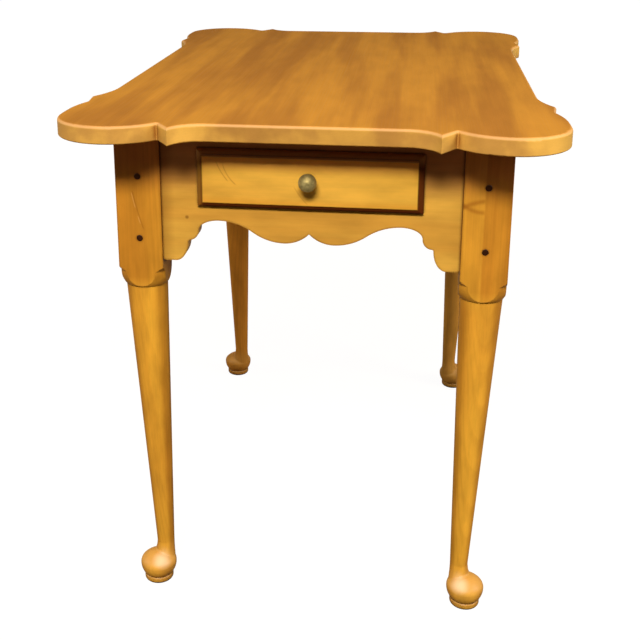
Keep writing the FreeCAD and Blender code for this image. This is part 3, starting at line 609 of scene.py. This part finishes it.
for apron, (grain, heart, seed, look, washes) in aprons.items():
    wear(apron, pine("sawn_pine_" + apron, grain, heart, seed, look, washes))
print("aprons", len(aprons))

# %% [markdown]
# ## Drawer front
#
# The drawer front is a paler board than the aprons, palest in the middle where hands reach for the knob and
# deeper amber along its lower edge. The brown glaze was never wiped out of its moulded lip, except on the
# left side, which rubs when the drawer is pushed in crooked. Two scratches at the upper left and one by the
# knob follow the photograph. The lip could be picked out as a material of its own, but its inner edge is
# soft where the rag went, so it is a wash that starts at the edge of the flat field.

# %% Drawer front
def rubbed_middle(tree, spot, wood):
    rubbed_to, deep_from = 40.0, 120.0
    deep_tint = (0.87, 0.86, 0.82)
    side = add(tree, "ShaderNodeVectorMath", {0: spot}, operation="ABSOLUTE")[0]
    side = add(tree, "ShaderNodeSeparateXYZ", {0: side})[0]
    ends = add(tree, "ShaderNodeMapRange", {0: side, "From Min": rubbed_to, "From Max": deep_from},
               interpolation_type="SMOOTHSTEP")[0]
    deeper = add(tree, "ShaderNodeVectorMath", {0: wood, 1: deep_tint}, operation="MULTIPLY")[0]
    return add(tree, "ShaderNodeMix", {0: ends, 6: wood, 7: deeper}, data_type="RGBA")[2]


# Painted light: the strip of the drawer front in the top's shadow is tinted and made a little lighter.
def painted_light_in_drawer_shade(tree, spot, wood):
    lit_to, shaded_from = 614.0, 634.0
    red_tint = (1.2, 0.98, 1.4)
    height = add(tree, "ShaderNodeSeparateXYZ", {0: spot})[2]
    under_top = add(tree, "ShaderNodeMapRange", {0: height, "From Min": lit_to, "From Max": shaded_from},
                    interpolation_type="SMOOTHSTEP")[0]
    redder = add(tree, "ShaderNodeVectorMath", {0: wood, 1: red_tint}, operation="MULTIPLY")[0]
    return add(tree, "ShaderNodeMix", {0: under_top, 6: wood, 7: redder}, data_type="RGBA")[2]


def amber_foot(tree, spot, wood):
    honey_to, amber_from, amount = 585.0, 574.0, 0.7
    amber_tint = (0.9, 0.7, 0.45)
    height = add(tree, "ShaderNodeSeparateXYZ", {0: spot})[2]
    low = add(tree, "ShaderNodeMapRange", {0: height, "From Min": honey_to, "From Max": amber_from,
                                           "To Max": amount})[0]
    deeper = add(tree, "ShaderNodeVectorMath", {0: wood, 1: amber_tint}, operation="MULTIPLY")[0]
    return add(tree, "ShaderNodeMix", {0: low, 6: wood, 7: deeper}, data_type="RGBA")[2]


def brown_lip(tree, spot, wood):
    field_middle, field_half = (0.0, 0.0, 604.6), (132.1, 0.0, 29.3)
    lip = {"From Min": -0.8, "From Max": 1.0, "To Max": 0.97}
    rubbed_left = {"From Min": -131.0, "From Max": -136.0, "To Min": 1.0, "To Max": 0.78}
    # Painted light: the lip's glaze turns paler at its top, inside the top's shadow.
    dark_to, lifted_from = 626.0, 636.0
    dark_glaze, lifted_glaze = "#4e1d09", "#98683f"
    out = add(tree, "ShaderNodeVectorMath", {0: spot, 1: field_middle}, operation="SUBTRACT")[0]
    out = add(tree, "ShaderNodeVectorMath", {0: out}, operation="ABSOLUTE")[0]
    out = add(tree, "ShaderNodeVectorMath", {0: out, 1: field_half}, operation="SUBTRACT")[0]
    past = add(tree, "ShaderNodeSeparateXYZ", {0: out})
    past = add(tree, "ShaderNodeMath", {0: past[0], 1: past[2]}, operation="MAXIMUM")[0]
    brown = add(tree, "ShaderNodeMapRange", {0: past, **lip})[0]
    axes = add(tree, "ShaderNodeSeparateXYZ", {0: spot})
    lightening = add(tree, "ShaderNodeMapRange", {0: axes[0], **rubbed_left})[0]
    brown = add(tree, "ShaderNodeMath", {0: brown, 1: lightening}, operation="MULTIPLY")[0]
    upper = add(tree, "ShaderNodeMapRange", {0: axes[2], "From Min": dark_to, "From Max": lifted_from})[0]
    glaze_and_shading = add(tree, "ShaderNodeMix", {0: upper, 6: linear(dark_glaze), 7: linear(lifted_glaze)},
                data_type="RGBA")[2]
    return add(tree, "ShaderNodeMix", {0: brown, 6: wood, 7: glaze_and_shading}, data_type="RGBA")[2]


# Moulded pine, the palest board: honey yellow inside a dark brown frame, with hardly any shine.
DRAWER = {**PINE, "early": "#e6b348", "late": "#d29a3e", "stain": "#d69f40", "rings": 0.06,
          "fibre_depth": 0.025, "blotch": 0.14, "shine": 0.1, "glaze_and_shade_reach": 0.004}
scratches = (mark((-40.2, 655.3), 79.0, (-116.0, -98.0), (602.0, 630.0), 1.4, "#9a5f1c", 0.5),
             mark((-57.8, 637.5), 50.0, (-108.0, -88.0), (598.0, 627.0), 1.4, "#9a5f1c", 0.5),
             mark((60.0, 640.0), 88.0, (-20.0, 6.0), (576.0, 600.0), 1.3, "#a86c22", 0.4))
drawer_washes = (rubbed_middle, painted_light_in_drawer_shade, amber_foot, brown_lip, *scratches)
wear("drawer_front", pine("moulded_pine_drawer_front", "X", (-420.0, 560.0), 25, DRAWER, drawer_washes))
print("scratches on the drawer front", len(scratches))

# %% [markdown]
# ## Bare pine inside
#
# Runners, guides, cleats and the drawer box are never seen with the drawer shut. They were planed and left
# without varnish, so they are pale and dry, and their year rings show more strongly than under the stain.
# The same function dresses them, with a coat so dull that it leaves only some dust and painted shade
# in the corners.

# %% Bare pine
# Planed pine without varnish: pale and dry, with clear stripes and no gleam.
BARE = {**PINE, "early": "#d9b98a", "late": "#b98f5a", "stain": "#c7a271", "rings": 0.45, "rough": 0.75,
        "shine": 0.2, "glaze_and_shading": "#4a2f18"}
BARE_HEART, FIRST_BARE_TREE = (-60.0, 500.0), 31
bare_grain = {
    "left_runner": "Y", "right_runner": "Y", "left_drawer_guide": "Y", "right_drawer_guide": "Y",
    "drawer_kicker": "Y", "left_top_cleat": "Y", "right_top_cleat": "Y", "left_drawer_side": "Y",
    "right_drawer_side": "Y", "drawer_back": "X", "drawer_bottom": "X",
}
for seed, (piece, grain) in enumerate(bare_grain.items(), FIRST_BARE_TREE):
    wear(piece, pine("planed_pine_" + piece, grain, BARE_HEART, seed, BARE))
print("bare pieces", len(bare_grain))

# %% [markdown]
# ## Pegs
#
# Riven oak pegs were driven through the joints and cut off flush. End grain drinks stain, so they are almost
# black. Oak has finer rings than pine, and the same tree draws it with other numbers.

# %% Pegs
# Riven oak with stain in its end grain: near black dots without a gleam.
PEG = {**PINE, "early": "#3a1e0c", "late": "#221006", "stain": "#2a1508", "ring_mm": 1.6, "rough": 0.6}
PEG_HEART, PEG_TREE = (0.0, 600.0), 51
peg_grain = {"front_pegs": "Y", "rear_pegs": "Y", "left_pegs": "X", "right_pegs": "X"}
for piece, grain in peg_grain.items():
    wear(piece, pine("stained_oak_" + piece, grain, PEG_HEART, PEG_TREE, PEG))
print("groups of pegs", len(peg_grain))

# %% [markdown]
# ## Brass
#
# The knob is cast brass left to tone down to olive brown. A polished ball would mirror the room. This one is
# rough from its casting mould, so lamps show only as blurred patches, and dirt has stayed in its neck.

# %% Brass
# Cast brass toned by air and hands: a dull olive gold with blurred highlights, dark in its grooves.
brass, tree, shader = new_finish("toned_cast_brass")
TONE_MM = 5.0
TONE_SPAN = {"From Min": 0.35, "From Max": 0.65}
DIRT_REACH = 0.006
DIRT_SPAN = {"From Min": 0.4, "From Max": 0.95}
DARK_ROUGH, PALE_ROUGH = 0.74, 0.6
spot = add(tree, "ShaderNodeTexCoord")["Object"]
tone = add(tree, "ShaderNodeTexNoise", {"Vector": spot, "Scale": MM / TONE_MM, "Detail": 4.0})["Fac"]
tone = add(tree, "ShaderNodeMapRange", {0: tone, **TONE_SPAN})[0]
metal = add(tree, "ShaderNodeMix", {0: tone, 6: linear("#8f8254"), 7: linear("#b3a46c")},
            data_type="RGBA")[2]
air = add(tree, "ShaderNodeAmbientOcclusion", {"Distance": DIRT_REACH}, samples=AIR_SAMPLES)["AO"]
clean = add(tree, "ShaderNodeMapRange", {0: air, **DIRT_SPAN})[0]
metal = add(tree, "ShaderNodeMix", {0: clean, 6: linear("#2c2210"), 7: metal}, data_type="RGBA")[2]
tree.links.new(metal, shader.inputs["Base Color"])
matt = add(tree, "ShaderNodeMapRange", {0: tone, "To Min": DARK_ROUGH, "To Max": PALE_ROUGH})[0]
tree.links.new(matt, shader.inputs["Roughness"])
shader.inputs["Metallic"].default_value = 1.0
wear("knob", brass)
print("brass tones", TONE_MM, "mm wide")

# %% [markdown]
# ## Steel
#
# The screws and nails are plain drawn steel, and so is the washer under the knob's screw. They are hidden
# inside, and one finish serves them all. The marks that drawing leaves are about 0.05 mm apart and would not
# show, so they are drawn 1.5 mm apart.

# %% Steel
# Drawn steel: mid grey, half bright, with the score marks of the die.
steel, tree, shader = new_finish("drawn_steel")
DRAW_MARK_MM = 1.5
LEAST_ROUGH, MOST_ROUGH = 0.3, 0.5
spot = add(tree, "ShaderNodeTexCoord")["Object"]
scored = add(tree, "ShaderNodeTexNoise", {"Vector": spot, "Scale": MM / DRAW_MARK_MM, "Detail": 3.0})["Fac"]
metal = add(tree, "ShaderNodeMix", {0: scored, 6: linear("#8d8b87"), 7: linear("#b5b3ae")},
            data_type="RGBA")[2]
tree.links.new(metal, shader.inputs["Base Color"])
matt = add(tree, "ShaderNodeMapRange", {0: scored, "To Min": LEAST_ROUGH, "To Max": MOST_ROUGH})[0]
tree.links.new(matt, shader.inputs["Roughness"])
shader.inputs["Metallic"].default_value = 1.0
steel_pieces = ("cleat_to_top_screws", "cleat_to_apron_screws", "kicker_screws", "guide_nails",
                "drawer_back_nails", "drawer_bottom_nails", "knob_screw", "knob_washer")
for piece in steel_pieces:
    wear(piece, steel)
print("steel pieces", len(steel_pieces))
